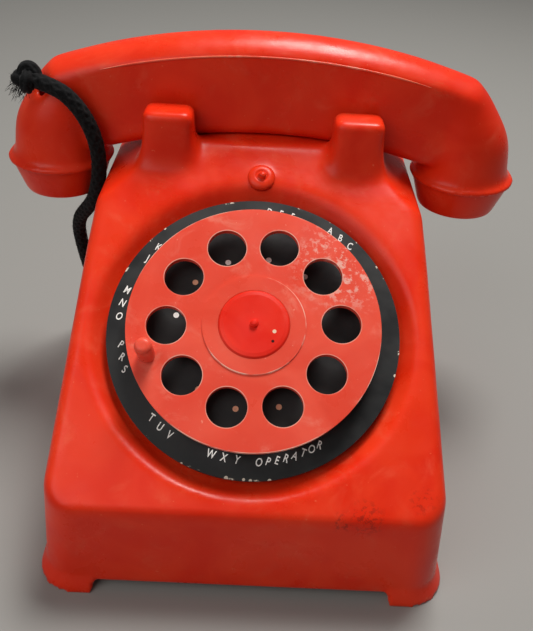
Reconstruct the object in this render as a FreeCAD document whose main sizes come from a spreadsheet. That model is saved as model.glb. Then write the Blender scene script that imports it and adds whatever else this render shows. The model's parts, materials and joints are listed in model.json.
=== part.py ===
import FreeCAD, Part
import math
import os
import Sketcher

# Toy rotary telephone: hollow moulded base with a sloping dial, a loose handset
# lying in four horns and a soft woven cord.  Millimetres, Z up, front towards -Y.

V = FreeCAD.Vector
Rot = FreeCAD.Rotation
Place = FreeCAD.Placement
os.makedirs("parts", exist_ok=True)
doc = FreeCAD.newDocument("toy_telephone")

# ---------------------------------------------------------------- driving sizes
SIZES = [
    ("wall", 2.0, "wall of every hollow moulding"),
    ("run_gap", 0.3, "gap kept between faces that slide past each other"),
    ("base_half_w", 53.2, "half width of the base at the table"),
    ("side_draft", 4.7, "lean of the side walls, degrees"),
    ("front_draft", 2.1, "lean of the front wall, degrees"),
    ("back_draft", 3.0, "lean of the back wall, degrees"),
    ("front_y", 40.26, "front wall ahead of the dial centre at the table"),
    ("back_y", 85.76, "back wall behind the dial centre at the table"),
    ("corner_rad", 9.0, "upright corner radius at the table"),
    ("slope_deg", 35.0, "slope of the dial face, degrees"),
    ("face_z", 57.47, "height of the dial face at the dial centre"),
    ("saddle_z", 90.31, "height of the saddle between the horns"),
    ("shoulder_x", 36.5, "inner end of the falling shoulder"),
    ("shoulder_z", 84.3, "height of that inner end"),
    ("shoulder_fall", 32.9, "fall of the shoulder, degrees"),
    ("edge_rad", 4.0, "rounding of the face sides, the shoulders and the front edge"),
    ("foot_z", 3.0, "clear height under the walls"),
    ("foot_len", 14.0, "length of a foot along each wall"),
    ("foot_flare", 1.7, "how far a foot spreads past the wall"),
    ("horn_in", 20.0, "inner side of a horn"),
    ("horn_out", 34.2, "outer side of a horn"),
    ("horn_z", 100.0, "top of a horn"),
    ("horn_deep", 10.6, "thickness of a horn front to back"),
    ("horn_rad", 2.25, "rounding of the horn tops"),
    ("horn_root", 5.0, "how far the foot of a horn spreads"),
    ("dish_rad", 45.0, "rim of the dish"),
    ("dish_deep", 4.5, "depth of the dish floor"),
    ("disc_rad", 38.96, "number disc"),
    ("disc_thick", 1.2, "number disc"),
    ("disc_top", -0.48, "disc top against the face"),
    ("pad_rad", 14.0, "raised pad that carries the disc"),
    ("stake_rad", 1.5, "pips that key the disc"),
    ("stake_at", 11.2, "pips from the centre"),
    ("wheel_rad", 33.0, "finger wheel"),
    ("wheel_thick", 1.8, "finger wheel plate"),
    ("wheel_top", 5.95, "wheel top above the face"),
    ("hole_rad", 5.18, "finger hole"),
    ("hole_at", 22.63, "finger holes from the centre"),
    ("hole_count", 10, "finger holes"),
    ("wheel_turn", 3.2, "wheel at rest, degrees anticlockwise"),
    ("step_rad", 13.4, "raised step round the hub"),
    ("step_high", 0.4, "raised step round the hub"),
    ("cap_rad", 9.3, "hub cap"),
    ("cap_high", 0.45, "hub cap above the step"),
    ("hub_boss_rad", 8.8, "boss under the wheel"),
    ("peg_rad", 2.2, "peg on the wheel"),
    ("peg_high", 9.0, "peg above the wheel"),
    ("peg_at", 28.4, "peg from the centre"),
    ("peg_bearing", 253.6, "peg round the wheel, degrees clockwise"),
    ("peg_soft", 1.3, "rounding of the peg top"),
    ("shaft_rad", 3.5, "hub shaft"),
    ("shaft_play", 0.08, "running clearance of the shaft, on the radius"),
    ("boss_rad", 6.5, "shaft boss under the dish"),
    ("boss_end", 14.0, "end of the shaft boss below the face"),
    ("washer_rad", 6.4, "thrust washer"),
    ("washer_thick", 0.8, "thrust washer"),
    ("star_rad", 12.0, "star wheel tip circle"),
    ("star_root", 9.6, "star wheel root circle"),
    ("star_thick", 3.0, "star wheel"),
    ("nut_rad", 5.6, "push nut"),
    ("nut_thick", 0.9, "push nut"),
    ("gong_up", 37.0, "gong centre up the slope from the dial centre"),
    ("gong_rad", 15.0, "gong rim"),
    ("gong_deep", 9.0, "gong from crown to rim"),
    ("gong_skin", 0.9, "gong metal"),
    ("gong_crown", 11.5, "gong crown below the face"),
    ("post_rad", 2.0, "gong post"),
    ("post_boss_rad", 4.5, "moulded boss for the gong post"),
    ("screw_head_rad", 3.4, "gong screw head"),
    ("arm_pivot_x", 25.0, "striker pivot to the right of the dial centre"),
    ("arm_pivot_up", 13.0, "striker pivot up the slope"),
    ("arm_wide", 3.6, "striker arm"),
    ("arm_thick", 1.2, "striker arm"),
    ("pin_rad", 1.25, "striker pivot pin"),
    ("pin_play", 0.06, "running clearance of the pin, on the radius"),
    ("nose_gap", 0.6, "striker nose outside the tip circle of the star"),
    ("nose_bearing", 60.0, "striker nose round the dial centre, degrees"),
    ("nose_half_w", 0.9, "half width of the nose at its tip"),
    ("ball_gap", 1.0, "ball short of the gong rim, along the slope"),
    ("ball_rad", 2.2, "striker ball"),
    ("hand_y", 61.6, "handset centre line behind the dial centre"),
    ("hand_half_d", 9.7, "half depth of the handle"),
    ("hand_low_z", 90.61, "underside of the handle at the middle"),
    ("hand_crease_z", 113.7, "edge of the handle top at the middle"),
    ("hand_crown_z", 117.9, "crown of the handle at the middle"),
    ("hand_arch", 190.0, "arch radius at the edge of the top"),
    ("hand_half_l", 62.0, "handle ends at the top edge"),
    ("dome_x", 63.0, "centre of each dome at its mouth"),
    ("ring_rad", 16.1, "flange round each dome mouth"),
    ("ring_z", 77.4, "underside of the flange"),
    ("ring_thick", 1.5, "flange"),
    ("dome_rad", 15.0, "dome at its mouth"),
    ("capend_rad", 12.4, "ear and mouth cap, lower edge"),
    ("capend_z", 67.6, "underside of the caps"),
    ("seam_z", 96.0, "seam of the handset halves at the middle"),
    ("cord_dia", 3.5, "cord"),
    ("knot_rad", 4.2, "knot outside the handset"),
    ("cord_hole_x", -25.0, "cord hole in the back wall"),
    ("cord_hole_z", 8.5, "cord hole in the back wall"),
    ("cord_hole_rad", 2.2, "cord hole in the back wall"),
]

sheet = doc.addObject("Spreadsheet::Sheet", "sizes")
for row, (alias, number, note) in enumerate(SIZES, start=1):
    sheet.set("A%d" % row, alias)
    sheet.set("B%d" % row, str(number))
    sheet.set("C%d" % row, note)
    sheet.setAlias("B%d" % row, alias)
doc.recompute()


class Size:
    """A sheet value that remembers the expression it came from."""

    def __init__(self, number, text):
        self.number = float(number)
        self.text = text

    def __float__(self):
        return self.number

    def __add__(self, other):
        return join(self, "+", other, self.number + float(other))

    def __radd__(self, other):
        return join(other, "+", self, float(other) + self.number)

    def __sub__(self, other):
        return join(self, "-", other, self.number - float(other))

    def __rsub__(self, other):
        return join(other, "-", self, float(other) - self.number)

    def __mul__(self, other):
        return join(self, "*", other, self.number * float(other))

    def __rmul__(self, other):
        return join(other, "*", self, float(other) * self.number)

    def __truediv__(self, other):
        return join(self, "/", other, self.number / float(other))

    def __neg__(self):
        return Size(-self.number, "(0 - %s)" % self.text)


def words(value):
    return value.text if isinstance(value, Size) else "%.9g" % float(value)


def join(left, sign, right, number):
    return Size(number, "(%s %s %s)" % (words(left), sign, words(right)))


class Sheet:
    def __getattr__(self, alias):
        return Size(sheet.get(alias), "sizes." + alias)


z = Sheet()
SLOPE = math.radians(float(z.slope_deg))
# the frame stands under the middle of the outer box, so everything moves forward
SHIFT = (float(z.back_y) - float(z.front_y)) / 2.0
parts = []


def frame_place(x=0.0, y=0.0, height=0.0, turn=None):
    return Place(V(x, y - SHIFT, height), turn or Rot())


def dial_place(x=0.0, up=0.0, above=0.0, turn=0.0):
    """Local XY lies in the dial face, local Z is the dial axis."""
    tilt = Rot(V(1, 0, 0), float(z.slope_deg))
    local = tilt.multVec(V(x, up, above))
    origin = V(0, -SHIFT, float(z.face_z)) + local
    return Place(origin, tilt.multiply(Rot(V(0, 0, 1), turn)))


# ------------------------------------------------------------- drawing helpers
def new_body(label, place):
    body = doc.addObject("PartDesign::Body", label)
    body.Label = label
    body.Placement = place
    parts.append(body)
    return body


def new_sketch(body, role, lift=0.0, name="sketch"):
    drawn = body.newObject("Sketcher::SketchObject", name)
    plane = [f for f in body.Origin.OriginFeatures if f.Role == role][0]
    drawn.AttachmentSupport = (plane, [""])
    drawn.MapMode = "FlatFace"
    if isinstance(lift, Size):
        drawn.setExpression("AttachmentOffset.Base.z", lift.text)
    else:
        drawn.AttachmentOffset = Place(V(0, 0, lift), Rot())
    return drawn


def bind(drawn, kind, geo, point, value):
    index = drawn.addConstraint(Sketcher.Constraint(kind, -1, 1, geo, point, float(value)))
    if isinstance(value, Size):
        drawn.setExpression("Constraints[%d]" % index, value.text)


def draw_outline(drawn, points):
    """Closed run of straight lines; every corner is tied to the sheet."""
    first = drawn.GeometryCount
    count = len(points)
    flat = [V(float(a), float(b), 0) for a, b in points]
    for i in range(count):
        drawn.addGeometry(Part.LineSegment(flat[i], flat[(i + 1) % count]), False)
    for i in range(count):
        after = first + (i + 1) % count
        drawn.addConstraint(Sketcher.Constraint("Coincident", first + i, 2, after, 1))
    for i, (a, b) in enumerate(points):
        bind(drawn, "DistanceX", first + i, 1, a)
        bind(drawn, "DistanceY", first + i, 1, b)


def draw_circle(drawn, a, b, radius):
    geo = drawn.addGeometry(Part.Circle(V(float(a), float(b), 0), V(0, 0, 1), float(radius)), False)
    bind(drawn, "DistanceX", geo, 3, a)
    bind(drawn, "DistanceY", geo, 3, b)
    index = drawn.addConstraint(Sketcher.Constraint("Radius", geo, float(radius)))
    if isinstance(radius, Size):
        drawn.setExpression("Constraints[%d]" % index, radius.text)


def pad(body, drawn, length, name="pad"):
    feature = body.newObject("PartDesign::Pad", name)
    feature.Profile = drawn
    feature.Length = float(length)
    if isinstance(length, Size):
        feature.setExpression("Length", length.text)
    drawn.Visibility = False
    return feature


def pocket_through(body, drawn, name="pocket"):
    feature = body.newObject("PartDesign::Pocket", name)
    feature.Profile = drawn
    feature.Type = 1
    feature.Midplane = True
    drawn.Visibility = False
    return feature


def turned(label, place, points):
    """Turned or round moulded piece: half section in local XZ, spun about local Z."""
    body = new_body(label, place)
    drawn = new_sketch(body, "XZ_Plane")
    draw_outline(drawn, points)
    spin = body.newObject("PartDesign::Revolution", "spin")
    spin.Profile = drawn
    spin.ReferenceAxis = (drawn, ["V_Axis"])
    spin.Angle = 360
    drawn.Visibility = False
    return body


def coded(label, shape):
    feature = doc.addObject("Part::Feature", label)
    feature.Label = label
    feature.Shape = shape
    feature.Placement = Place(V(0, -SHIFT, 0), Rot())
    parts.append(feature)
    return feature


def solid_of(points, direction):
    """Closed flat outline pushed along a vector."""
    return Part.Face(Part.makePolygon(points + [points[0]])).extrude(direction)


def ring_wire(half_x, y_front, y_back, radius, height):
    """Rounded rectangle at one height."""
    corners = [
        (half_x - radius, y_front + radius, -90),
        (half_x - radius, y_back - radius, 0),
        (-half_x + radius, y_back - radius, 90),
        (-half_x + radius, y_front + radius, 180),
    ]
    edges = []
    ends = []
    for cx, cy, start in corners:
        marks = [math.radians(start + a) for a in (0, 45, 90)]
        pts = [V(cx + radius * math.cos(a), cy + radius * math.sin(a), height) for a in marks]
        edges.append(Part.Arc(*pts).toShape())
        ends.append((pts[0], pts[2]))
    for i in range(4):
        edges.insert(2 * i + 1, Part.makeLine(ends[i][1], ends[(i + 1) % 4][0]))
    return Part.Wire(edges)


# ------------------------------------------------------------------ base shell
def body_block(inset, bottom):
    """Drafted block, cut by the dial face, the saddle and both shoulders."""
    def section(height, radius):
        half = float(z.base_half_w) - height * math.tan(math.radians(float(z.side_draft)))
        front = -float(z.front_y) + height * math.tan(math.radians(float(z.front_draft)))
        back = float(z.back_y) - height * math.tan(math.radians(float(z.back_draft)))
        return ring_wire(half - inset, front + inset, back - inset, radius, height)

    corner = float(z.corner_rad) - inset
    block = Part.makeLoft([section(bottom, corner), section(110.0, corner - 2.0)], True, True)
    slope = math.tan(SLOPE)
    face = float(z.face_z) - inset / math.cos(SLOPE)
    top = float(z.saddle_z) - inset
    meet = (top - face) / slope
    above = [V(-80, -150, face - 150 * slope), V(-80, meet, top), V(-80, 130, top)]
    above += [V(-80, 130, 200), V(-80, -150, 200)]
    block = block.cut(solid_of(above, V(160, 0, 0)))
    fall = math.radians(float(z.shoulder_fall))
    x_in = float(z.shoulder_x)
    z_in = float(z.shoulder_z) - inset / math.cos(fall)
    x_top = float(z.horn_out) + 0.4 - inset
    z_top = z_in + (x_in - x_top) * math.tan(fall)
    x_far = 80.0
    z_far = z_in - (x_far - x_in) * math.tan(fall)
    for side in (1, -1):
        above = [(x_top, z_top), (x_far, z_far), (x_far, 200), (x_top, 200)]
        points = [V(side * a, -150, b) for a, b in above]
        block = block.cut(solid_of(points, V(0, 300, 0)))
    return block


def edge_on(shape, wanted):
    """Edges whose two ends and middle all satisfy a test."""
    found = []
    for edge in shape.Edges:
        first, last = edge.ParameterRange
        marks = [edge.valueAt(first + (last - first) * k) for k in (0.1, 0.5, 0.9)]
        if all(wanted(p) for p in marks):
            found.append(edge)
    return found


def above_face(point):
    return (point.z - float(z.face_z)) * math.cos(SLOPE) - point.y * math.sin(SLOPE)


def soften(block, radius):
    """Round the side edges of the face, the edge above the front wall and the shoulders."""
    near_side = float(z.base_half_w) - 15.2
    near_front = -float(z.front_y) + 10.3
    below_shoulder = float(z.shoulder_z) - 16.3

    def side_edge(p):
        return abs(above_face(p)) < 2.3 and abs(p.x) > near_side and p.y > near_front - 6.0

    def front_edge(p):
        return abs(above_face(p)) < 2.3 and p.y < near_front

    def shoulder_edge(p):
        return abs(p.x) > float(z.horn_out) + 8.8 and p.z > below_shoulder and p.y > 20

    wanted = edge_on(block, side_edge) + edge_on(block, front_edge) + edge_on(block, shoulder_edge)
    unique = []
    for edge in wanted:
        if not any(edge.isSame(other) for other in unique):
            unique.append(edge)
    return block.makeFillet(radius, unique)


# distance below the horn top, share of the full spread
HORN_FLARE = [(21.0, 1.0), (16.5, 0.56), (12.0, 0.22), (7.0, 0.06), (0.0, 0.0)]


def horn_block(side, rear, inset):
    """Tapered cradle horn, rounded on top."""
    x0 = float(z.horn_in)
    x1 = float(z.horn_out)
    y1 = float(z.hand_y) - float(z.hand_half_d) - 0.4
    y0 = y1 - float(z.horn_deep)
    wires = []
    for below, share in HORN_FLARE:
        spread = float(z.horn_root) * share
        height = float(z.horn_z) - below - (inset if below == 0.0 else 0.0)
        half = (x1 - x0) / 2.0 + spread - inset
        corner = (1.2 if inset else 2.6) + spread * 0.5
        wires.append(ring_wire(half, y0 - spread + inset, y1 + spread - inset, corner, height))
    horn = Part.makeLoft(wires, True, False)
    if not inset:
        top = edge_on(horn, lambda p: abs(p.z - float(z.horn_z)) < 0.01)
        horn = horn.makeFillet(float(z.horn_rad), top)
    horn.translate(V(side * (x0 + x1) / 2.0, 0, 0))
    if rear:
        horn = horn.mirror(V(0, float(z.hand_y), 0), V(0, 1, 0))
    return horn


def arch_band(low, high, y0, y1):
    """Band that follows the arch of the handle; radii from the arch centre."""
    centre = V(0, 0, float(z.hand_crease_z) - float(z.hand_arch))
    points = [V(0, y0, centre.z + low), V(0, y1, centre.z + low)]
    points += [V(0, y1, centre.z + high), V(0, y0, centre.z + high)]
    face = Part.Face(Part.makePolygon(points + [points[0]]))
    face.rotate(centre, V(0, 1, 0), -30)
    return face.revolve(centre, V(0, 1, 0), 60)


def dish_cut(deeper):
    """Round bowl with a soft rim; 'deeper' grows it for the inner face of the wall."""
    rim = float(z.dish_rad) + deeper
    floor = -float(z.dish_deep) - deeper
    lip = (rim + 0.8, 0.5 - deeper) if deeper else (rim, 0.0)
    curve = [lip, (rim - 1.4, -0.4 - deeper), (rim - 3.0, -1.6 - deeper)]
    curve += [(rim - 4.8, -3.3 - deeper), (rim - 6.8, floor + 0.25), (rim - 9.0, floor)]
    spline = Part.BSplineCurve()
    spline.interpolate([V(a, 0, b) for a, b in curve])
    corners = [V(curve[-1][0], 0, floor), V(0, 0, floor), V(0, 0, 12), V(lip[0], 0, 12)]
    corners.append(V(lip[0], 0, lip[1]))
    edges = [spline.toShape()]
    edges += [Part.makeLine(corners[i], corners[i + 1]) for i in range(4)]
    bowl = Part.Face(Part.Wire(edges)).revolve(V(0, 0, 0), V(0, 0, 1), 360)
    return set_on_dial(bowl)


def set_on_dial(shape):
    """Local dial space to the space of the coded shapes (not yet shifted)."""
    shape.Placement = Place(V(0, 0, float(z.face_z)), Rot(V(1, 0, 0), float(z.slope_deg)))
    return shape


def dial_cylinder(radius, low, high, x=0.0, up=0.0):
    return set_on_dial(Part.makeCylinder(radius, high - low, V(x, up, low)))


def gate_nub():
    """Low dome with the broken stub of the moulding gate."""
    up = float(z.dish_rad) + 1.3
    ball = Part.makeSphere(5.2, V(0, up, -3.9))
    ball = ball.common(Part.makeCylinder(4.2, 6.0, V(0, up, -1.0)))
    stub = Part.makeCone(1.2, 0.8, 1.9, V(0.3, up - 0.4, 0.6))
    return set_on_dial(ball.fuse(stub))


def feet(inset):
    """Flared feet round the four corners."""
    flare = float(z.foot_flare)
    half = float(z.base_half_w)
    front = -float(z.front_y)
    back = float(z.back_y)
    rad = float(z.corner_rad)
    rise = 7.0
    lean = rise * math.tan(math.radians(float(z.side_draft)))
    lean_f = rise * math.tan(math.radians(float(z.front_draft)))
    lean_b = rise * math.tan(math.radians(float(z.back_draft)))
    low = ring_wire(half + flare, front - flare, back + flare, rad + flare, 0.0)
    mid = ring_wire(half + flare * 0.8, front - flare * 0.8, back + flare * 0.8, rad + flare * 0.8, 1.4)
    sunk = inset * 0.3
    high = ring_wire(half - lean - sunk, front + lean_f + sunk, back - lean_b - sunk, rad, rise)
    skirt = Part.makeLoft([low, mid, high], True, True)
    inner_low = ring_wire(half - inset, front + inset, back - inset, rad - inset, -1.0)
    inner_high = ring_wire(half - lean - inset, front + lean_f + inset, back - lean_b - inset, rad - inset, rise + 1)
    skirt = skirt.cut(Part.makeLoft([inner_low, inner_high], True, True))
    reach = float(z.foot_len)
    blocks = []
    for sx in (1, -1):
        for y_start in (front - 5.0, back + 5.0 - reach - 5.0):
            x_start = half - reach if sx > 0 else -half - 5.0
            blocks.append(Part.makeBox(reach + 5.0, reach + 5.0, rise, V(x_start, y_start, 0)))
    corner = blocks[0].multiFuse(blocks[1:])
    return skirt.common(corner)


def base_shell():
    wall = float(z.wall)
    foot_z = float(z.foot_z)
    hand_y = float(z.hand_y)
    half_d = float(z.hand_half_d) + 0.4
    outer = soften(body_block(0.0, foot_z), float(z.edge_rad))
    inner = body_block(wall, foot_z - 2.0)
    horns = [horn_block(s, rear, 0.0) for s in (1, -1) for rear in (False, True)]
    limit = Part.makeBox(200, 300, 60, V(-100, -150, 76))
    trim = body_block_limits()
    for horn in horns:
        outer = outer.fuse(horn.common(limit).common(trim))
    for s in (1, -1):
        for rear in (False, True):
            inner = inner.fuse(horn_block(s, rear, wall).common(body_block_limits(wall)))
    low = float(z.hand_arch) - (float(z.hand_crease_z) - float(z.hand_low_z)) - float(z.run_gap)
    outer = outer.cut(arch_band(low, low + 60.0, hand_y - half_d, hand_y + half_d))
    inner = inner.cut(arch_band(low - wall, low + 60.0, hand_y - half_d - wall, hand_y + half_d + wall))
    inner = inner.cut(dish_cut(wall))
    outer = outer.cut(dish_cut(0.0)).fuse(gate_nub())
    shell = outer.cut(inner)

    floor = -float(z.dish_deep)
    disc_low = float(z.disc_top) - float(z.disc_thick)
    shell = shell.fuse(dial_cylinder(float(z.pad_rad), floor - 0.5, disc_low))
    for side in (1, -1):
        stake = dial_cylinder(float(z.stake_rad), floor, float(z.disc_top) + 0.1, side * float(z.stake_at))
        shell = shell.fuse(stake)
    shell = shell.fuse(dial_cylinder(float(z.boss_rad), -float(z.boss_end), floor - 1.0))
    bore = float(z.shaft_rad) + float(z.shaft_play)
    shell = shell.cut(dial_cylinder(bore, -float(z.boss_end) - 1, 3.0))

    up = float(z.gong_up)
    post_end = float(z.gong_crown) - 1.0
    shell = shell.fuse(dial_cylinder(float(z.post_boss_rad), -post_end, floor - 0.6, 0.0, up))
    shell = shell.cut(dial_cylinder(float(z.post_rad), -post_end - 1, floor - 1.2, 0.0, up))
    px = float(z.arm_pivot_x)
    pu = float(z.arm_pivot_up)
    shell = shell.fuse(dial_cylinder(3.2, -float(z.boss_end), floor - 1.0, px, pu))
    shell = shell.cut(dial_cylinder(float(z.pin_rad), -float(z.boss_end) - 1, floor - 2.0, px, pu))
    shell = shell.fuse(feet(wall))
    hole = Part.makeCylinder(float(z.cord_hole_rad), 30, V(float(z.cord_hole_x), 70, float(z.cord_hole_z)), V(0, 1, 0))
    shell = shell.cut(hole)
    return shell.removeSplitter()


def body_block_limits(inset=0.0):
    """Tall drafted block without the face cut; keeps the horns inside the walls."""
    def section(height):
        half = float(z.base_half_w) - height * math.tan(math.radians(float(z.side_draft)))
        front = -float(z.front_y) + height * math.tan(math.radians(float(z.front_draft)))
        back = float(z.back_y) - height * math.tan(math.radians(float(z.back_draft)))
        return ring_wire(half - inset, front + inset, back - inset, 6.0, height)

    return Part.makeLoft([section(20.0), section(112.0)], True, True)


# ------------------------------------------------------------------------ dial
def number_disc():
    body = new_body("number_disc", dial_place(above=float(z.disc_top) - float(z.disc_thick)))
    drawn = new_sketch(body, "XY_Plane")
    draw_circle(drawn, 0.0, 0.0, z.disc_rad)
    draw_circle(drawn, 0.0, 0.0, z.shaft_rad + 0.5)
    for side in (1, -1):
        draw_circle(drawn, z.stake_at * side, 0.0, z.stake_rad + 0.05)
    pad(body, drawn, z.disc_thick)


def dial_wheel():
    """Flat wheel: plate, raised step, boss below, ten finger holes and the peg."""
    body = new_body("dial_wheel", dial_place(turn=float(z.wheel_turn)))
    plate_low = z.wheel_top - z.wheel_thick
    plate = new_sketch(body, "XY_Plane", plate_low, "plate_outline")
    draw_circle(plate, 0.0, 0.0, z.wheel_rad)
    pad(body, plate, z.wheel_thick, "plate")
    step = new_sketch(body, "XY_Plane", z.wheel_top - 0.2, "step_outline")
    draw_circle(step, 0.0, 0.0, z.step_rad)
    pad(body, step, z.step_high + 0.2, "step")
    boss_low = z.disc_top + z.run_gap
    boss = new_sketch(body, "XY_Plane", boss_low, "boss_outline")
    draw_circle(boss, 0.0, 0.0, z.hub_boss_rad)
    pad(body, boss, z.wheel_top - boss_low - 1.0, "boss")
    angle = math.radians(float(z.peg_bearing))
    peg = new_sketch(body, "XY_Plane", z.wheel_top - 0.3, "peg_outline")
    draw_circle(peg, z.peg_at * math.sin(angle), z.peg_at * math.cos(angle), z.peg_rad)
    pad(body, peg, z.peg_high + 0.3, "peg")
    doc.recompute()
    top = float(z.wheel_top) + float(z.peg_high)
    rims = []
    for number, edge in enumerate(body.Tip.Shape.Edges, start=1):
        low = min(v.Z for v in edge.Vertexes) if edge.Vertexes else 0.0
        if abs(low - top) < 0.01:
            rims.append("Edge%d" % number)
    soft = body.newObject("PartDesign::Fillet", "peg_round")
    soft.Base = (body.getObject("peg"), rims)
    soft.Radius = float(z.peg_soft)
    body.Tip = soft
    seat = new_sketch(body, "XY_Plane", z.wheel_top + z.step_high - 1.0, "cap_seat")
    draw_circle(seat, 0.0, 0.0, z.cap_rad + 0.05)
    cut = body.newObject("PartDesign::Pocket", "cap_recess")
    cut.Profile = seat
    cut.Length = 5.0
    cut.Reversed = True
    seat.Visibility = False
    bore = new_sketch(body, "XY_Plane", 0.0, "shaft_bore")
    draw_circle(bore, 0.0, 0.0, z.shaft_rad + 0.01)
    pocket_through(body, bore, "shaft_hole")
    first = math.radians(18.0)
    finger = new_sketch(body, "XY_Plane", 0.0, "finger_outline")
    draw_circle(finger, z.hole_at * math.sin(first), z.hole_at * math.cos(first), z.hole_rad)
    hole = pocket_through(body, finger, "finger_hole")
    ring = body.newObject("PartDesign::PolarPattern", "finger_holes")
    ring.Originals = [hole]
    ring.Axis = (finger, ["N_Axis"])
    ring.Angle = 360
    ring.Occurrences = int(float(z.hole_count))
    body.Tip = ring


def dial_stack():
    """Hub with its cap and shaft, then everything pressed on the shaft below."""
    seat = z.wheel_top + z.step_high - 1.0
    top = z.wheel_top + z.step_high + z.cap_high
    washer_top = -(z.boss_end + z.run_gap)
    star_top = washer_top - z.washer_thick
    nut_top = star_top - z.star_thick
    shaft_low = nut_top - z.nut_thick - 0.9
    hub = [(0.0, shaft_low), (z.shaft_rad - 0.6, shaft_low), (z.shaft_rad, shaft_low + 0.6)]
    hub += [(z.shaft_rad, seat), (z.cap_rad, seat), (z.cap_rad, top - 0.5), (z.cap_rad - 0.5, top - 0.12)]
    hub += [(z.cap_rad - 1.4, top), (1.15, top - 0.15), (1.0, top + 0.6), (0.55, top + 0.95), (0.0, top + 1.0)]
    turned("dial_hub", dial_place(turn=float(z.wheel_turn)), hub)

    tight = z.shaft_rad + 0.01
    ring_piece("thrust_washer", washer_top - z.washer_thick, z.washer_thick, tight, z.washer_rad)
    star_piece(star_top - z.star_thick, tight)
    ring_piece("push_nut", nut_top - z.nut_thick, z.nut_thick, tight, z.nut_rad)


def ring_piece(label, low, thick, inner, outer):
    body = new_body(label, dial_place(turn=float(z.wheel_turn)))
    drawn = new_sketch(body, "XY_Plane", low)
    draw_circle(drawn, 0.0, 0.0, outer)
    draw_circle(drawn, 0.0, 0.0, inner)
    pad(body, drawn, thick)


def star_piece(low, inner):
    """Click wheel: one rounded tooth for each finger hole."""
    body = new_body("star_wheel", dial_place(turn=float(z.wheel_turn)))
    drawn = new_sketch(body, "XY_Plane", low)
    teeth = int(float(z.hole_count))
    points = []
    for k in range(teeth * 4):
        angle = 2 * math.pi * k / (teeth * 4)
        radius = z.star_rad if k % 4 in (0, 1) else z.star_root
        points.append((radius * math.cos(angle), radius * math.sin(angle)))
    draw_outline(drawn, points)
    draw_circle(drawn, 0.0, 0.0, inner)
    pad(body, drawn, z.star_thick)


# ------------------------------------------------------------- bell and striker
def bell():
    up = float(z.gong_up)
    place = dial_place(up=up)
    crown = -z.gong_crown
    rim = crown - z.gong_deep
    skin = z.gong_skin
    hole = z.post_rad + 0.05
    outer = [(hole, crown), (z.gong_rad * 0.45, crown), (z.gong_rad * 0.78, crown - z.gong_deep * 0.22)]
    outer += [(z.gong_rad * 0.95, crown - z.gong_deep * 0.6), (z.gong_rad, rim)]
    inner = [(z.gong_rad - skin, rim), (z.gong_rad * 0.95 - skin, crown - z.gong_deep * 0.6)]
    inner += [(z.gong_rad * 0.78 - skin * 0.7, crown - z.gong_deep * 0.22 - skin * 0.75)]
    inner += [(z.gong_rad * 0.45 - skin * 0.3, crown - skin), (hole, crown - skin)]
    turned("gong", place, outer + inner)
    floor = -z.dish_deep
    tip = crown - skin - 3.0
    shoulder = crown + 0.0
    post = [(0.0, floor - 1.2), (z.post_rad, floor - 1.2), (z.post_rad, crown + 1.0)]
    post += [(z.post_rad + 1.2, crown + 1.0), (z.post_rad + 1.2, shoulder), (z.post_rad, shoulder)]
    post += [(z.post_rad, tip), (0.0, tip)]
    turned("gong_post", place, post)
    screw = [(z.post_rad, crown - skin), (z.screw_head_rad, crown - skin)]
    screw += [(z.screw_head_rad, crown - skin - 1.4), (z.screw_head_rad - 0.6, crown - skin - 2.0)]
    screw += [(z.post_rad, crown - skin - 2.0)]
    turned("gong_nut", place, screw)


def local_point(bearing, radius, px, pu, turn):
    """A point given round the dial axis, in the axes of the arm."""
    across = radius * math.cos(bearing) - px
    up = radius * math.sin(bearing) - pu
    back = math.radians(-turn)
    return (across * math.cos(back) - up * math.sin(back), across * math.sin(back) + up * math.cos(back))


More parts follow.
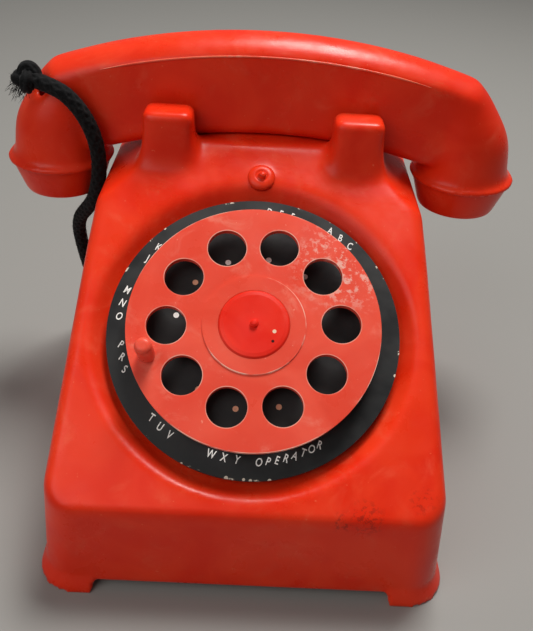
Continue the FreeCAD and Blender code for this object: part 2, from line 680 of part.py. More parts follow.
def striker():
    """Flat arm on a pin, nose towards the star wheel and a ball towards the gong."""
    px = float(z.arm_pivot_x)
    pu = float(z.arm_pivot_up)
    mid = -(float(z.boss_end) + float(z.run_gap) + float(z.washer_thick) + float(z.star_thick) / 2.0)
    place = dial_place(px, pu, mid)
    tip_x = -px
    tip_y = float(z.gong_up) - float(z.gong_rad) - float(z.ball_rad) - float(z.ball_gap) - pu
    angle = math.degrees(math.atan2(tip_y, tip_x))
    length = math.hypot(tip_x, tip_y)
    body = new_body("striker_arm", dial_place(px, pu, mid, angle))
    half_w = float(z.arm_wide) / 2.0
    drawn = new_sketch(body, "XY_Plane", z.arm_thick * -0.5)
    reach = float(z.star_rad) + float(z.nose_gap)
    nose_x, nose_y = local_point(math.radians(float(z.nose_bearing)), reach, px, pu, angle)
    nose_w = float(z.nose_half_w)
    outline = [(-3.2, -3.0), (-3.2, 3.0), (3.0, 3.0), (5.0, half_w), (nose_x - 1.6, half_w)]
    outline += [(nose_x - nose_w, nose_y), (nose_x + nose_w, nose_y), (nose_x + 1.6, half_w * 0.9)]
    outline += [(length - 2.0, half_w * 0.5), (length - 2.0, -half_w * 0.5), (5.0, -half_w), (3.0, -3.0)]
    draw_outline(drawn, outline)
    draw_circle(drawn, 0.0, 0.0, z.pin_rad + z.pin_play)
    pad(body, drawn, z.arm_thick)

    ball = Part.makeSphere(float(z.ball_rad), V(length, 0, 0))
    slot = Part.makeBox(4.0, float(z.arm_wide), float(z.arm_thick), V(length - 6.0, -half_w, -float(z.arm_thick) / 2.0))
    ball = ball.cut(slot)
    feature = doc.addObject("Part::Feature", "striker_ball")
    feature.Label = "striker_ball"
    feature.Shape = ball
    feature.Placement = dial_place(px, pu, mid, angle)
    parts.append(feature)

    high = -z.dish_deep - 2.0
    low = mid - float(z.arm_thick) / 2.0 - 1.7
    turned("striker_pin", dial_place(px, pu), [(0.0, low), (z.pin_rad + 0.9, low), (z.pin_rad + 0.9, low + 1.2),
                                               (z.pin_rad, low + 1.2), (z.pin_rad, high), (0.0, high)])
    gap_top = -float(z.boss_end)
    collar_low = mid + float(z.arm_thick) / 2.0 + 0.3
    turned("striker_collar", dial_place(px, pu), [(z.pin_rad, collar_low), (z.pin_rad + 1.4, collar_low),
                                                  (z.pin_rad + 1.4, gap_top), (z.pin_rad, gap_top)])


# --------------------------------------------------------------------- handset
DOME = [  # height above the flange, centre towards the handle, radius against the mouth
    (1.5, 0.0, 0.0),
    (10.1, 0.5, 1.7),
    (17.6, 2.0, 3.3),
    (23.6, 4.4, 5.1),
    (27.0, 6.0, 6.2),
    (29.4, 7.6, 7.8),
]


def dome(side, inset):
    wires = []
    for rise, inward, less in DOME:
        height = float(z.ring_z) + rise - (inset if rise > 20 else 0.0)
        centre = V(side * (float(z.dome_x) - inward), float(z.hand_y), height)
        radius = float(z.dome_rad) - less - inset
        wires.append(Part.Wire(Part.makeCircle(radius, centre, V(0, 0, 1))))
    if inset:
        low = V(side * float(z.dome_x), float(z.hand_y), float(z.ring_z) - 1.0)
        wires[0] = Part.Wire(Part.makeCircle(float(z.dome_rad) - inset, low, V(0, 0, 1)))
    return Part.makeLoft(wires, True, False)


def handle(inset):
    """Arched bar: flat sides, crowned top, rounded below."""
    centre = V(0, float(z.hand_y), float(z.hand_crease_z) - float(z.hand_arch))
    half = float(z.hand_half_d) - inset
    low = float(z.hand_low_z) + inset
    crease = float(z.hand_crease_z) - inset * 0.6
    crown = float(z.hand_crown_z) - inset
    r = 3.0 if not inset else 1.5
    k = r * (1 - math.sqrt(0.5))
    y = float(z.hand_y)
    edges = [
        Part.makeLine(V(0, y - half + r, low), V(0, y + half - r, low)),
        Part.Arc(V(0, y + half - r, low), V(0, y + half - k, low + k), V(0, y + half, low + r)).toShape(),
        Part.makeLine(V(0, y + half, low + r), V(0, y + half - 0.5, crease)),
        Part.Arc(V(0, y + half - 0.5, crease), V(0, y, crown), V(0, y - half + 0.5, crease)).toShape(),
        Part.makeLine(V(0, y - half + 0.5, crease), V(0, y - half, low + r)),
        Part.Arc(V(0, y - half, low + r), V(0, y - half + k, low + k), V(0, y - half + r, low)).toShape(),
    ]
    face = Part.Face(Part.Wire(edges))
    reach = math.degrees(math.asin((float(z.hand_half_l) - inset) / float(z.hand_arch)))
    face.rotate(centre, V(0, 1, 0), -reach)
    return face.revolve(centre, V(0, 1, 0), 2 * reach)


def seam_prism():
    """Everything above the seam between the two handset halves."""
    top = float(z.seam_z)
    ring = float(z.ring_z) + float(z.ring_thick)
    dome_x = float(z.dome_x)
    # how far inside the dome centre the seam has dropped by how much
    drops = [(43.0, 1.0), (27.0, 4.0), (17.0, 8.0), (11.0, 13.0)]
    half = [(0.0, top)] + [(dome_x - inside, top - drop) for inside, drop in drops]
    far = dome_x + 32.0
    half += [(dome_x - 6.0, ring), (far, ring)]
    right = [V(a, 0, b) for a, b in half]
    left = [V(-a, 0, b) for a, b in reversed(half[1:])]
    outline = left + right + [V(far, 0, 200), V(-far, 0, 200)]
    return solid_of(outline, V(0, 150, 0))


def handset():
    wall = float(z.wall)
    outer = handle(0.0).fuse(dome(1, 0.0)).fuse(dome(-1, 0.0))
    hollow = handle(wall).fuse(dome(1, wall)).fuse(dome(-1, wall))
    above = seam_prism()
    upper = outer.common(above).cut(hollow)
    lower = outer.cut(above).cut(hollow)
    y = float(z.hand_y)
    inner_rad = float(z.dome_rad) - wall
    for side in (1, -1):
        at = V(side * float(z.dome_x), y, float(z.ring_z))
        ring = Part.makeCylinder(float(z.ring_rad), float(z.ring_thick), at)
        ring = ring.makeFillet(0.5, [e for e in ring.Edges if e.Length > 50])
        lower = lower.fuse(ring.cut(Part.makeCylinder(inner_rad, 10, at - V(0, 0, 5))))
    knot_at = cord_start()
    aim = knot_aim()
    upper = upper.cut(Part.makeCylinder(float(z.cord_dia) / 2.0 + 0.3, 12.0, knot_at, aim))
    coded("handset_upper", upper.removeSplitter())
    coded("handset_lower", lower.removeSplitter())


def end_cap(label, side):
    """Tapered cap, closed below, plugged into the flange."""
    top = z.ring_z
    low = z.capend_z
    wide = z.dome_rad + 0.2
    plug = z.dome_rad - z.wall - 0.4
    end = z.capend_rad
    skin = z.wall
    points = [(0.0, low), (end - 1.6, low), (end - 0.5, low + 0.4), (end, low + 1.4), (wide, top)]
    points += [(plug, top), (plug, top + z.ring_thick), (plug - 1.2, top + z.ring_thick), (plug - 1.2, top - 1.0)]
    points += [(end - skin, low + skin + 1.0), (0.0, low + skin)]
    turned(label, frame_place(side * float(z.dome_x), float(z.hand_y)), points)


# ------------------------------------------------------------------------ cord
def cord_start():
    return V(-68.3, 52.0, 103.4)


def knot_aim():
    aim = V(-57.5, 60.6, 94.0) - cord_start()
    aim.normalize()
    return aim


# corners of the route, first the part that leaves with the handset
UPPER = [
    (-60.0, 48.6, 99.4), (-55.3, 48.2, 95.2), (-52.0, 48.4, 89.8), (-50.0, 48.8, 83.6), (-49.1, 49.2, 77.0),
    (-50.4, 51.0, 70.4), (-53.6, 54.6, 64.4), (-57.6, 59.8, 59.0), (-61.0, 65.2, 52.6), (-62.7, 69.2, 45.2),
]
LOWER = [
    (-61.4, 72.6, 28.8), (-59.8, 74.8, 20.0), (-58.6, 79.6, 11.8), (-57.8, 86.8, 5.6), (-57.2, 95.6, 2.5),
    (-54.0, 104.6, 1.85), (-46.8, 111.6, 1.85), (-37.2, 112.6, 1.85), (-29.6, 106.6, 2.6), (-25.6, 98.2, 5.6),
    (-25.0, 89.4, 8.5),
]


def cord_solid(route, label):
    """Round cord along straight runs joined by tangent arcs."""
    points = [V(*p) for p in route]
    edges = []
    at = points[0]
    radii = []
    for before, corner, after in zip(points, points[1:], points[2:]):
        run_in = before - corner
        run_out = after - corner
        turn = math.pi - run_in.getAngle(run_out)
        back = 0.45 * min(run_in.Length, run_out.Length)
        radius = back / math.tan(turn / 2.0)
        radii.append(radius)
        run_in.normalize()
        run_out.normalize()
        first = corner + run_in * back
        last = corner + run_out * back
        to_centre = run_in + run_out
        to_centre.normalize()
        reach = radius / math.cos(turn / 2.0)
        middle = corner + to_centre * (reach - radius)
        edges.append(Part.makeLine(at, first))
        edges.append(Part.Arc(first, middle, last).toShape())
        at = last
    edges.append(Part.makeLine(at, points[-1]))
    line = Part.Wire(edges)
    way = points[1] - points[0]
    ring = Part.Wire(Part.makeCircle(float(z.cord_dia) / 2.0, points[0], way))
    body = line.makePipeShell([ring], True, False)
    if not body.isValid() or body.Volume <= 0:
        body = line.makePipeShell([ring], True, True)
    area = math.pi * (float(z.cord_dia) / 2.0) ** 2
    report = (label, line.Length, min(radii), body.Volume / (area * line.Length))
    print("%s length %.1f mm, tightest bend %.1f mm, volume ratio %.4f" % report)
    print("   bend radii " + " ".join("%.1f" % r for r in radii))
    return body


def cord():
    """Knot and frayed end on the handset, two lengths of cord, knot inside the base."""
    start = cord_start()
    radius = float(z.cord_dia) / 2.0
    knot_rad = float(z.knot_rad)
    first = V(*UPPER[0])
    leave = first - start
    leave.normalize()
    lead_end = start + leave * (knot_rad + 0.4)
    knot = Part.makeSphere(knot_rad, start)
    knot = knot.fuse(Part.makeCylinder(radius, knot_rad + 4.5, start, knot_aim()))
    knot = knot.fuse(Part.makeCylinder(radius, knot_rad + 0.4, start, leave))
    coded("cord_knot", knot.removeSplitter())
    split = (V(*UPPER[-1]) + V(*LOWER[0])) * 0.5
    coded("cord_upper", cord_solid([tuple(lead_end)] + UPPER + [tuple(split)], "cord_upper"))
    wall_in = V(float(z.cord_hole_x), float(z.back_y) - 6.4, float(z.cord_hole_z))
    coded("cord_lower", cord_solid([tuple(split)] + LOWER + [tuple(wall_in)], "cord_lower"))
    droop = V(-0.45, -0.25, -0.9)
    tail = Part.makeCone(1.5, 2.3, knot_rad + 5.0, start, droop)
    coded("cord_tail", tail.cut(Part.makeSphere(knot_rad, start)))
    inner = Part.makeSphere(3.9, wall_in - V(0, 3.4, 0))
    flat = Part.makeBox(20, 20, 20, wall_in - V(10, 0, 10))
    coded("cord_knot_inner", inner.cut(flat))


# ----------------------------------------------------------------------- build
coded("base_shell", base_shell())
number_disc()
dial_wheel()
dial_stack()
bell()
striker()
handset()
end_cap("ear_cap", 1)
end_cap("mouth_cap", -1)
cord()
doc.recompute()

faults = []
for item in doc.Objects:
    if "Invalid" in item.State or "Error" in item.State:
        faults.append("%s is %s" % (item.Label, item.State))
for item in parts:
    if item.Shape.isNull() or not item.Shape.isValid():
        faults.append(item.Label + " has a bad shape")
    elif len(item.Shape.Solids) != 1:
        faults.append("%s has %d solids" % (item.Label, len(item.Shape.Solids)))
if faults:
    raise RuntimeError("; ".join(faults))
for item in parts:
    item.Shape.exportStep("parts/%s.step" % item.Label)
    box = item.Shape.optimalBoundingBox()
    print("%-16s x %.1f..%.1f y %.1f..%.1f z %.1f..%.1f vol %.0f" % (
        item.Label, box.XMin, box.XMax, box.YMin, box.YMax, box.ZMin, box.ZMax, item.Shape.Volume))
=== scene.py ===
import json
import math
import random

import bpy
import bmesh
from mathutils import Matrix, Vector


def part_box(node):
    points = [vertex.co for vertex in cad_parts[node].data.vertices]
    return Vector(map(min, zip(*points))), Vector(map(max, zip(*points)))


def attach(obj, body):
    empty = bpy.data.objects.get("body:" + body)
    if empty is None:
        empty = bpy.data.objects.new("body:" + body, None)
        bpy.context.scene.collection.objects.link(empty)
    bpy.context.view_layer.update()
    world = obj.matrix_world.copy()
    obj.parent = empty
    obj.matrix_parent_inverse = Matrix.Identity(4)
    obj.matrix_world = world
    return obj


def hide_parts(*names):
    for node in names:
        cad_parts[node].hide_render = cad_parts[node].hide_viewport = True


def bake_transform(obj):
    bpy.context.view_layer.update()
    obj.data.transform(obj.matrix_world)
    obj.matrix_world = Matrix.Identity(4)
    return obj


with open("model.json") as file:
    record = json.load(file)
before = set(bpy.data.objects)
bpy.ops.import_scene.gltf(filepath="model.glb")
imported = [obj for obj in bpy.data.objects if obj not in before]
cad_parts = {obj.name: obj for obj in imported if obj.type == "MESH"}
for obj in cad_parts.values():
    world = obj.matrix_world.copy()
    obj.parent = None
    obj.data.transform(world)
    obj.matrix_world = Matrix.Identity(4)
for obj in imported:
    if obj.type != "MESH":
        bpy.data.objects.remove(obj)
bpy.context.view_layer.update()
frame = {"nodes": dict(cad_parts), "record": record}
NODES = frame["nodes"]
MM = 0.001


# ------------------------------------------------------------- dial coordinates
def dial_joint():
    for joint in frame["record"]["behaviour"]["joints"]:
        if joint["name"] == "dial_spin":
            return Vector(joint["pos_m"]), Vector(joint["axis"]).normalized()


# sizes of the dial in millimetres, heights above the dial face
DISC_TOP = -0.48
DISC_RIM = 38.75
WHEEL_TOP = 5.95
WHEEL_EDGES = (13.4, 33.0)  # radius of the raised step and of the rim
HUB_TOP = 6.8
HOLE_AT, HOLE_RAD = 22.63, 5.18  # finger holes: from the centre, and radius
HOLE_FIRST, HOLE_COUNT = 14.8, 10  # bearing of one hole at rest, degrees
DIAL_AT, DIAL_OUT = dial_joint()
DIAL_UP = DIAL_OUT.cross(Vector((1, 0, 0))).normalized()


def on_dial(radius, bearing, above):
    """Point on the dial, millimetres; bearing clockwise from straight up the slope."""
    angle = math.radians(bearing)
    across = Vector((1, 0, 0)) * math.sin(angle) + DIAL_UP * math.cos(angle)
    return DIAL_AT + (across * radius + DIAL_OUT * above) * MM


# ----------------------------------------------------------------------- camera
CAMERA_AT = (0.00001, -0.17997, 0.17645)  # metres
YAW, PITCH, ROLL = 1.13, 35.82, 3.53  # degrees: to the right, down, and about the view
LENS, SENSOR = 42.41, 36.0  # millimetres; the sensor's height
NEAREST = 0.005  # metres; nothing nearer is drawn


def make_camera():
    yaw, pitch, roll = (math.radians(a) for a in (YAW, PITCH, ROLL))
    ahead = Vector((math.sin(yaw) * math.cos(pitch), math.cos(yaw) * math.cos(pitch), -math.sin(pitch)))
    level = Vector((math.cos(yaw), -math.sin(yaw), 0.0))
    above = level.cross(ahead)
    right = level * math.cos(roll) + above * math.sin(roll)
    up = above * math.cos(roll) - level * math.sin(roll)
    data = bpy.data.cameras.new("camera")
    data.sensor_fit = "VERTICAL"
    data.sensor_height = SENSOR
    data.lens = LENS
    data.clip_start = NEAREST
    camera = bpy.data.objects.new("camera", data)
    turn = Matrix((right, up, -ahead)).transposed()
    camera.matrix_world = Matrix.Translation(CAMERA_AT) @ turn.to_4x4()
    bpy.context.scene.collection.objects.link(camera)
    bpy.context.scene.camera = camera


# ------------------------------------------------------------------ node helper
class Paint:
    """A material and short calls for the nodes used here."""

    def __init__(self, name, **sockets):
        self.material = bpy.data.materials.new(name)
        self.material.use_nodes = True
        self.nodes = self.material.node_tree.nodes
        self.links = self.material.node_tree.links
        self.shader = self.nodes["Principled BSDF"]
        for socket, value in sockets.items():
            self.shader.inputs[socket.replace("_", " ")].default_value = value
        self.where = self.nodes.new("ShaderNodeTexCoord").outputs["Object"]

    def put(self, socket, value):
        if isinstance(value, bpy.types.NodeSocket):
            self.links.new(value, socket)
        else:
            socket.default_value = value

    def noise(self, scale, detail=4.0, rough=0.5, stretch=None, turn=(0.0, 0.0, 0.0), warp=0.0):
        node = self.nodes.new("ShaderNodeTexNoise")
        node.inputs["Scale"].default_value = scale
        node.inputs["Detail"].default_value = detail
        node.inputs["Roughness"].default_value = rough
        node.inputs["Distortion"].default_value = warp
        self.put(node.inputs["Vector"], self.stretched(stretch, turn) if stretch else self.where)
        return node.outputs["Fac"]

    def stretched(self, scale, turn):
        node = self.nodes.new("ShaderNodeMapping")
        node.inputs["Scale"].default_value = scale
        node.inputs["Rotation"].default_value = [math.radians(a) for a in turn]
        self.put(node.inputs["Vector"], self.where)
        return node.outputs["Vector"]

    def reckon(self, operation, a, b=0.0):
        node = self.nodes.new("ShaderNodeMath")
        node.operation = operation
        self.put(node.inputs[0], a)
        self.put(node.inputs[1], b)
        return node.outputs[0]

    def ramp(self, value, low, high, start=0.0, end=1.0):
        node = self.nodes.new("ShaderNodeMapRange")
        node.interpolation_type = "SMOOTHSTEP"
        for name, number in (("From Min", low), ("From Max", high), ("To Min", start), ("To Max", end)):
            node.inputs[name].default_value = number
        self.put(node.inputs["Value"], value)
        return node.outputs["Result"]

    def mix(self, share, a, b):
        node = self.nodes.new("ShaderNodeMix")
        node.data_type = "RGBA"
        self.put(node.inputs["Factor"], share)
        for socket, value in ((node.inputs[6], a), (node.inputs[7], b)):
            self.put(socket, value if isinstance(value, bpy.types.NodeSocket) else (*value, 1.0))
        return node.outputs[2]

    def along(self, direction, origin=(0.0, 0.0, 0.0)):
        """Distance in metres from origin along direction."""
        shifted = self.nodes.new("ShaderNodeVectorMath")
        shifted.operation = "SUBTRACT"
        self.put(shifted.inputs[0], self.where)
        shifted.inputs[1].default_value = origin
        node = self.nodes.new("ShaderNodeVectorMath")
        node.operation = "DOT_PRODUCT"
        self.put(node.inputs[0], shifted.outputs["Vector"])
        node.inputs[1].default_value = direction
        return node.outputs["Value"]

    def away(self, point):
        """Distance in metres from point."""
        node = self.nodes.new("ShaderNodeVectorMath")
        node.operation = "DISTANCE"
        self.put(node.inputs[0], self.where)
        node.inputs[1].default_value = point
        return node.outputs["Value"]

    def square(self, value):
        return self.reckon("MULTIPLY", value, value)

    def dial_radius(self):
        across = self.along((1, 0, 0), DIAL_AT)
        up = self.along(DIAL_UP, DIAL_AT)
        return self.reckon("SQRT", self.reckon("ADD", self.square(across), self.square(up)))

    def hole_distance(self):
        """Distance in metres from the middle of the nearest finger hole, by the cosine rule."""
        across = self.along((1, 0, 0), DIAL_AT)
        up = self.along(DIAL_UP, DIAL_AT)
        step = 2 * math.pi / HOLE_COUNT
        bearing = self.reckon("ARCTAN2", across, up)
        turned = self.reckon("SUBTRACT", bearing, math.radians(HOLE_FIRST) - step / 2)
        nearest = self.reckon("SUBTRACT", self.reckon("FLOORED_MODULO", turned, step), step / 2)
        radius = self.dial_radius()
        squares = self.reckon("ADD", self.square(radius), (HOLE_AT * MM) ** 2)
        product = self.reckon("MULTIPLY", radius, 2 * HOLE_AT * MM)
        shared = self.reckon("MULTIPLY", product, self.reckon("COSINE", nearest))
        return self.reckon("SQRT", self.reckon("SUBTRACT", squares, shared))

    def bump(self, height, strength, depth):
        """Adds a bump on top of those made before it."""
        node = self.nodes.new("ShaderNodeBump")
        node.inputs["Strength"].default_value = strength
        node.inputs["Distance"].default_value = depth
        self.put(node.inputs["Height"], height)
        if self.shader.inputs["Normal"].is_linked:
            self.put(node.inputs["Normal"], self.shader.inputs["Normal"].links[0].from_socket)
        self.put(self.shader.inputs["Normal"], node.outputs["Normal"])

    def colour(self, value):
        self.put(self.shader.inputs["Base Color"], value)

    def colour_so_far(self):
        return self.shader.inputs["Base Color"].links[0].from_socket

    def rough(self, value):
        self.put(self.shader.inputs["Roughness"], value)


# -------------------------------------------------------------------- materials
def moulded(name, main, deep, scuffed, scuff):
    """Slightly translucent moulded plastic with swirls in the colour, scuffs and fine scratches."""
    p = Paint(
        name, Subsurface_Weight=0.22, Subsurface_Scale=0.004, Subsurface_Radius=(1.0, 0.16, 0.08),
        Specular_IOR_Level=0.24,
    )
    swirl = p.noise(38.0, 3.0, 0.5, warp=1.4)
    fine = p.noise(420.0, 5.0, 0.6)
    colour = p.mix(p.ramp(swirl, 0.34, 0.68), deep, main)
    haze = p.reckon("MULTIPLY", p.ramp(p.noise(95.0, 6.0, 0.66, warp=0.6), 0.52, 0.78), scuff)
    nicks = p.reckon("MULTIPLY", p.ramp(p.noise(900.0, 2.0, 0.5), 0.72, 0.78), 0.55)
    colour = p.mix(p.reckon("MAXIMUM", haze, nicks), colour, scuffed)
    p.colour(colour)
    p.rough(p.ramp(p.noise(70.0, 5.0, 0.6), 0.3, 0.75, 0.24, 0.46))
    p.bump(fine, 0.10, 0.0002)
    p.bump(p.noise(120.0, 3.0, 0.5), 0.14, 0.0006)
    scratches = p.noise(60.0, 6.0, stretch=(1.0, 14.0, 14.0), turn=(20.0, 35.0, 28.0))
    p.bump(p.ramp(scratches, 0.62, 0.66), 0.05, 0.0001)
    return p


# pale colour of the wheel's edge lines: painted highlight where light catches the edges, partly wear
PALE_EDGE_GLINT_AND_WEAR = (0.92, 0.60, 0.48)
WORN_AT = on_dial(29.0, 52.0, 5.9)  # middle of the worn patch
WORN_FROM, WORN_TO = 0.004, 0.017  # it thins out between these distances


def wheel_plastic():
    """The wheel is paler, with a worn patch on its right, and pale lines on its rims and hole edges:
    painted highlights where light catches these edges, partly wear.
    """
    p = moulded("red_dial", (0.86, 0.098, 0.056), (0.79, 0.068, 0.036), (0.90, 0.36, 0.26), 0.50)
    near = p.ramp(p.away(WORN_AT), WORN_FROM, WORN_TO, 1.0, 0.0)
    flecks = p.ramp(p.noise(520.0, 4.0, 0.7), 0.50, 0.62)
    worn = p.reckon("MULTIPLY", p.reckon("MULTIPLY", near, flecks), 0.75)
    colour = p.mix(worn, p.colour_so_far(), (0.86, 0.52, 0.44))
    radius = p.dial_radius()
    patchy = p.ramp(p.noise(75.0, 3.0, 0.6), 0.48, 0.62, 0.0, 0.8)
    # pale lines along the step and the rim: painted highlights on these edges
    for edge in WHEEL_EDGES:
        off = p.reckon("ABSOLUTE", p.reckon("SUBTRACT", radius, edge * MM))
        line = p.ramp(off, 0.00005, 0.00022, 1.0, 0.0)
        colour = p.mix(p.reckon("MULTIPLY", line, patchy), colour, PALE_EDGE_GLINT_AND_WEAR)
    # pale line round the top edge of each finger hole: painted highlight, partly wear
    off = p.reckon("ABSOLUTE", p.reckon("SUBTRACT", p.hole_distance(), HOLE_RAD * MM))
    upper = p.ramp(p.along(DIAL_OUT, DIAL_AT), (WHEEL_TOP - 0.25) * MM, (WHEEL_TOP - 0.05) * MM)
    line = p.reckon("MULTIPLY", p.ramp(off, 0.00006, 0.00030, 1.0, 0.0), upper)
    patchy = p.ramp(p.noise(75.0, 3.0, 0.6), 0.36, 0.62, 0.1, 0.6)
    p.colour(p.mix(p.reckon("MULTIPLY", line, patchy), colour, PALE_EDGE_GLINT_AND_WEAR))
    return p


# bearing, radius and size of the larger chips in the disc's rim, degrees and millimetres
RIM_CHIPS = [
    (187.5, 38.7, 0.9), (181.0, 38.6, 0.7), (178.5, 38.8, 0.8), (171.5, 39.0, 0.9), (205.0, 39.0, 0.6),
    (105.0, 38.9, 0.8), (96.0, 39.0, 0.6), (58.0, 39.0, 0.6), (318.0, 39.0, 0.7),
]


def disc_card():
    """Black printed disc, rubbed along its rim."""
    p = Paint("black_disc", Specular_IOR_Level=0.35)
    cloud = p.noise(60.0, 4.0, 0.6)
    colour = p.mix(p.ramp(cloud, 0.35, 0.7), (0.009, 0.009, 0.010), (0.020, 0.021, 0.021))
    rim = p.ramp(p.dial_radius(), (DISC_RIM - 0.3) * MM, DISC_RIM * MM)
    crumble = p.noise(900.0, 5.0, 0.7)
    chips = p.reckon("MULTIPLY", rim, p.ramp(p.noise(210.0, 5.0, 0.7), 0.60, 0.64))
    for bearing, radius, size in RIM_CHIPS:
        middle = on_dial(radius, bearing, DISC_TOP)
        near = p.ramp(p.away(middle), 0.2 * size * MM, size * MM, 1.0, 0.0)
        chips = p.reckon("MAXIMUM", chips, p.ramp(p.reckon("ADD", near, crumble), 1.06, 1.16))
    p.colour(p.mix(chips, colour, (0.74, 0.66, 0.54)))
    p.rough(p.ramp(cloud, 0.3, 0.7, 0.34, 0.52))
    p.bump(p.noise(800.0, 4.0, 0.6), 0.05, 0.0001)
    return p


def metal(name, colour, roughness):
    """Drawn or stamped metal with faint smears."""
    p = Paint(name, Metallic=1.0)
    smear = p.noise(260.0, 5.0, 0.6, stretch=(1.0, 1.0, 9.0))
    p.colour(p.mix(p.ramp(smear, 0.3, 0.7), tuple(c * 0.72 for c in colour), colour))
    p.rough(p.ramp(smear, 0.3, 0.7, roughness * 0.8, roughness * 1.3))
    p.bump(smear, 0.04, 0.0001)
    return p


def plain_plastic(name, colour):
    """Uncoloured plastic of the parts inside."""
    p = Paint(name)
    cloud = p.noise(90.0, 4.0, 0.6)
    p.colour(p.mix(p.ramp(cloud, 0.3, 0.7), tuple(c * 0.86 for c in colour), colour))
    p.rough(p.ramp(cloud, 0.3, 0.7, 0.38, 0.55))
    p.bump(p.noise(500.0, 4.0, 0.5), 0.05, 0.0001)
    return p


def yarn():
    """Black yarn of the knitted cord."""
    p = Paint("cord", Specular_IOR_Level=0.12, Sheen_Weight=0.06, Sheen_Roughness=0.5)
    strand = p.noise(1500.0, 4.0, 0.6)
    p.colour(p.mix(p.ramp(strand, 0.35, 0.7), (0.0025, 0.0025, 0.0028), (0.013, 0.013, 0.014)))
    p.rough(p.ramp(strand, 0.3, 0.7, 0.75, 0.95))
    p.bump(strand, 0.3, 0.0002)
    return p


def stamped(name, thin_colour, full_colour):
    """Hot-stamped ink, thin in places."""
    p = Paint(name, Specular_IOR_Level=0.3)
    thin = p.ramp(p.noise(1800.0, 4.0, 0.7), 0.28, 0.46)
    p.colour(p.mix(thin, thin_colour, full_colour))
    p.rough(p.ramp(p.noise(700.0, 3.0, 0.5), 0.3, 0.7, 0.45, 0.7))
    return p


# middle and reach of each dark mark, metres
FRONT_MARKS = [
    ((0.030, -0.0605, 0.0300), 0.006),
    ((0.024, -0.0615, 0.0290), 0.004),
    ((0.044, -0.0560, 0.0320), 0.005),
]


def stained_red():
    """Body colour with a few dark rubbed marks on the front edge."""
    p = moulded("red_body", (0.86, 0.042, 0.010), (0.79, 0.024, 0.004), (0.90, 0.20, 0.10), 0.24)
    base = p.colour_so_far()
    grime = p.ramp(p.noise(650.0, 5.0, 0.7), 0.50, 0.60)
    for spot, size in FRONT_MARKS:
        near = p.ramp(p.away(spot), 0.2 * size, size, 0.5, 0.0)
        base = p.mix(p.reckon("MULTIPLY", near, grime), base, (0.16, 0.012, 0.008))
    p.colour(base)
    return p


# bearing, radius, size and colour, degrees and millimetres
# the dark entry is painted shade for a pinhole
HUB_SPECK_AND_PINHOLE_SHADE = [(109.0, 5.6, 0.60, (0.90, 0.62, 0.45)), (132.0, 6.7, 0.46, (0.03, 0.004, 0.004))]


def marked_hub():
    """Hub colour with one pale speck, and one dark spot that is painted shade for a pinhole."""
    p = moulded("red_hub", (0.92, 0.036, 0.016), (0.80, 0.018, 0.007), (0.90, 0.17, 0.10), 0.34)
    base = p.colour_so_far()
    for bearing, radius, size, tint in HUB_SPECK_AND_PINHOLE_SHADE:
        middle = on_dial(radius, bearing, HUB_TOP)
        spot = p.ramp(p.away(middle), 0.7 * size * MM, size * MM, 1.0, 0.0)
        base = p.mix(spot, base, tint)
    p.colour(base)
    return p


PAINTS = {
    "red_body": stained_red(),
    "red_dial": wheel_plastic(),
    "red_hub": marked_hub(),
    "black_disc": disc_card(),
    "pale_plastic": plain_plastic("pale_plastic", (0.72, 0.69, 0.60)),
    "steel": metal("steel", (0.56, 0.56, 0.57), 0.30),
    "bell_metal": metal("bell_metal", (0.63, 0.63, 0.64), 0.22),
    "brass": metal("brass", (0.74, 0.55, 0.27), 0.28),
    "cord": yarn(),
}
WHITE = stamped("print_white", (0.46, 0.42, 0.40), (0.93, 0.91, 0.87))
# the white dot ink painted darker orange-brown: painted shade under the wheel, with a painted red cast
# from light through it
SHADED_DOT_INK = stamped("print_white_painted_shade", (0.46, 0.21, 0.12), (0.80, 0.42, 0.26))
# paler red of the crease ridges: painted highlight along the handle's top edges
CREASE = moulded("red_crease_painted_highlight", (0.90, 0.16, 0.09), (0.86, 0.08, 0.04), (0.95, 0.50, 0.38), 0.80)


def paint_cad():
    for row in frame["record"]["subparts"]:
        data = NODES[row["node"]].data
        data.materials.clear()
        data.materials.append(PAINTS[row["material_slot"]].material)


# ----------------------------------------------------------------- mesh helpers
def finished(bm, name):
    bmesh.ops.recalc_face_normals(bm, faces=bm.faces)
    mesh = bpy.data.meshes.new(name)
    bm.to_mesh(mesh)
    bm.free()
    return mesh


def closed_skin(bm, rings):
    """Faces between rings of equally many points, and one over each end."""
    sides = len(rings[0])
    for a, b in zip(rings, rings[1:]):
        for k in range(sides):
            n = (k + 1) % sides
            bm.faces.new((a[k], a[n], b[n], b[k]))
    bm.faces.new(list(reversed(rings[0])))
    bm.faces.new(rings[-1])


def ring_round(bm, middle, across, top, radii):
    """Points round middle in the plane of across and top, one for each radius."""
    ring = []
    for k, radius in enumerate(radii):
        angle = 2 * math.pi * k / len(radii)
        ring.append(bm.verts.new(middle + (across * math.cos(angle) + top * math.sin(angle)) * radius))
    return ring


def smooth_line(points, closed=False):
    """Points along the NURBS line that has these control points."""
    curve = bpy.data.curves.new("line", "CURVE")
    curve.dimensions = "3D"
    curve.resolution_u = 24
    spline = curve.splines.new("NURBS")
    spline.points.add(len(points) - 1)
    for point, where in zip(spline.points, points):
        point.co = (*where, 1.0)
    spline.order_u = 3
    spline.use_endpoint_u = not closed
    spline.use_cyclic_u = closed
    holder = bpy.data.objects.new("line", curve)
    bpy.context.scene.collection.objects.link(holder)
    mesh = bpy.data.meshes.new_from_object(holder)
    line = [v.co.copy() for v in mesh.vertices]
    bpy.data.objects.remove(holder)
    bpy.data.meshes.remove(mesh)
    return line


